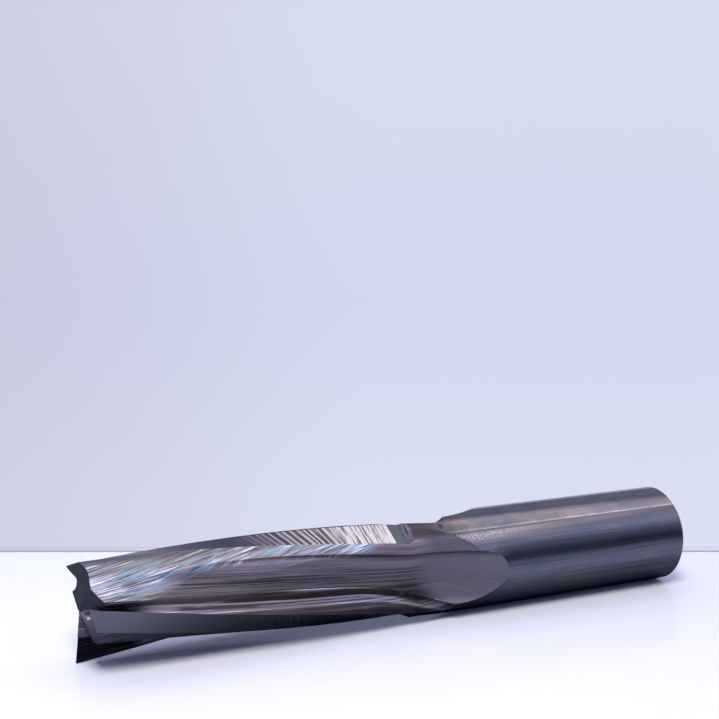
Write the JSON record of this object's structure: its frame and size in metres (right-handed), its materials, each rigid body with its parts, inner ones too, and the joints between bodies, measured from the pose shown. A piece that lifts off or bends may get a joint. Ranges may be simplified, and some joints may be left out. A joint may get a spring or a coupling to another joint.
{
  "type": "router bit",
  "caption": "Solid carbide spiral router bit with a straight cylindrical shank, open helical flutes, relieved cutting lands and a centre-cutting end.",
  "frame": {"origin": "centre of the shank's flat end, which the bit stands on", "axes": "+Z along the bit from the shank end up to the cutting end"},
  "size_m": [0.019, 0.019, 0.1224],
  "materials": {
    "carbide": "ground tungsten carbide, dark grey, satin"
  },
  "bodies": {
    "root": {"router_bit": "carbide"}
  },
  "joints": []
}
